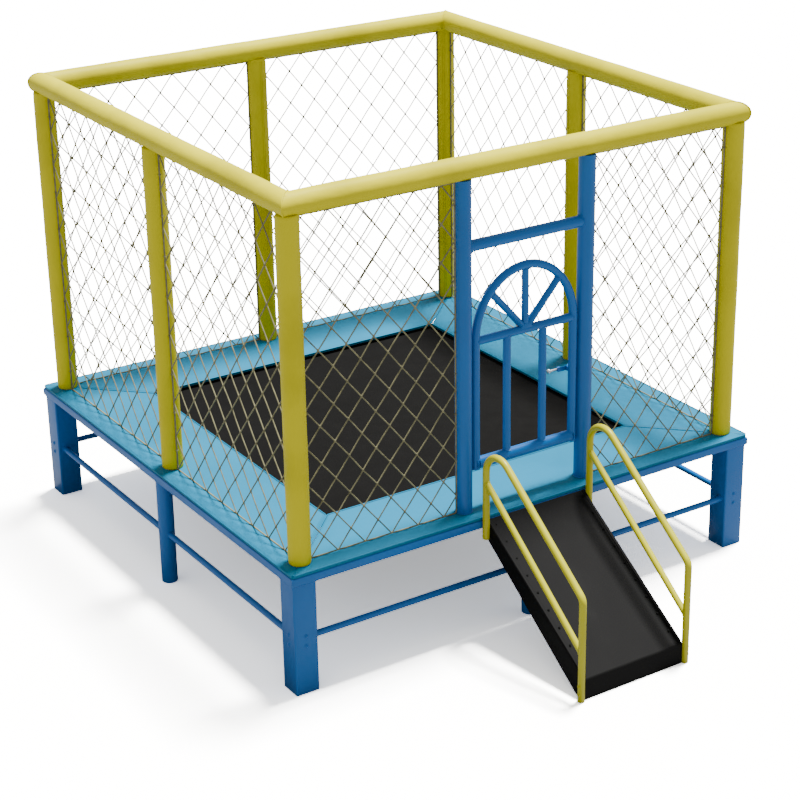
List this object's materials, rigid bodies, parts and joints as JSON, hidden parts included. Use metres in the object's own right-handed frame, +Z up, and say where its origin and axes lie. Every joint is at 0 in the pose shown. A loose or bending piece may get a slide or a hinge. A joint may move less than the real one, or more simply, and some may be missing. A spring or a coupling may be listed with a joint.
{
  "type": "fenced square trampoline",
  "caption": "Square trampoline on legs with foam pads, padded posts and top ring, net walls, an arched gate, an access ramp and handrails.",
  "frame": {"origin": "on the ground, below the middle of the whole object's box, ramp included", "axes": "+Z up; the gate and the ramp face -Y; +X is to the right of someone who looks along +Y at the gate from the ramp"},
  "size_m": [3, 3.869, 2.6305],
  "materials": {
    "blue_paint": "semi-gloss",
    "yellow_paint": "semi-gloss",
    "yellow_sleeve": "satin vinyl",
    "cyan_pad": "satin vinyl",
    "black_mat": "matt weave",
    "net": "matt",
    "steel": "zinc plated",
    "ramp_board": "black paint",
    "ramp_rubber": "matt"
  },
  "bodies": {
    "frame": {"corner_leg_front_left": "blue_paint", "mid_leg_front": "blue_paint", "lower_rail_front": "blue_paint", "deck_beam_front": "blue_paint", "pad_front": "cyan_pad", "spring_row_front": "steel", "ring_sleeve_front": "yellow_sleeve", "post_sleeve_front_left": "yellow_sleeve", "net_front_left": "net", "net_front_right": "net", "corner_leg_front_right": "blue_paint", "mid_leg_right": "blue_paint", "lower_rail_right": "blue_paint", "deck_beam_right": "blue_paint", "pad_right": "cyan_pad", "spring_row_right": "steel", "ring_sleeve_right": "yellow_sleeve", "post_sleeve_front_right": "yellow_sleeve", "net_right_front": "net", "net_right_back": "net", "post_sleeve_right": "yellow_sleeve", "corner_leg_back_right": "blue_paint", "mid_leg_back": "blue_paint", "lower_rail_back": "blue_paint", "deck_beam_back": "blue_paint", "pad_back": "cyan_pad", "spring_row_back": "steel", "ring_sleeve_back": "yellow_sleeve", "post_sleeve_back_right": "yellow_sleeve", "net_back_right": "net", "net_back_left": "net", "post_sleeve_back": "yellow_sleeve", "corner_leg_back_left": "blue_paint", "mid_leg_left": "blue_paint", "lower_rail_left": "blue_paint", "deck_beam_left": "blue_paint", "pad_left": "cyan_pad", "spring_row_left": "steel", "ring_sleeve_left": "yellow_sleeve", "post_sleeve_back_left": "yellow_sleeve", "net_left_back": "net", "net_left_front": "net", "post_sleeve_left": "yellow_sleeve", "enclosure_frame": "steel", "door_post_left": "blue_paint", "door_post_right": "blue_paint", "door_crossbar": "blue_paint", "ramp_frame": "ramp_board", "ramp_cover": "ramp_rubber", "handrail_left": "yellow_paint", "handrail_right": "yellow_paint"},
    "gate": {"gate_arch": "blue_paint", "gate_bottom_rail": "blue_paint", "gate_middle_rail": "blue_paint", "gate_picket_left": "blue_paint", "gate_picket_right": "blue_paint", "gate_fan": "blue_paint", "latch_housing": "blue_paint"},
    "bolt": {"latch_bolt": "steel"},
    "mat": {"jump_mat": "black_mat"}
  },
  "joints": [
    {"name": "gate_hinge", "type": "hinge", "parent": "frame", "child": "gate", "pos_m": [-0.334, -0.9175, 1.33], "axis": [0, 0, 1], "range_deg": [0, 92]},
    {"name": "latch_slide", "type": "slide", "parent": "gate", "child": "bolt", "axis": [1, 0, 0], "range_m": [0, 0.036]},
    {"name": "mat_bounce", "type": "slide", "parent": "frame", "child": "mat", "axis": [0, 0, 1], "range_m": [-0.25, 0], "stiffness_N_per_m": 6000, "springref_m": 0.1, "deforming": ["spring_row_front", "spring_row_right", "spring_row_back", "spring_row_left"]}
  ]
}
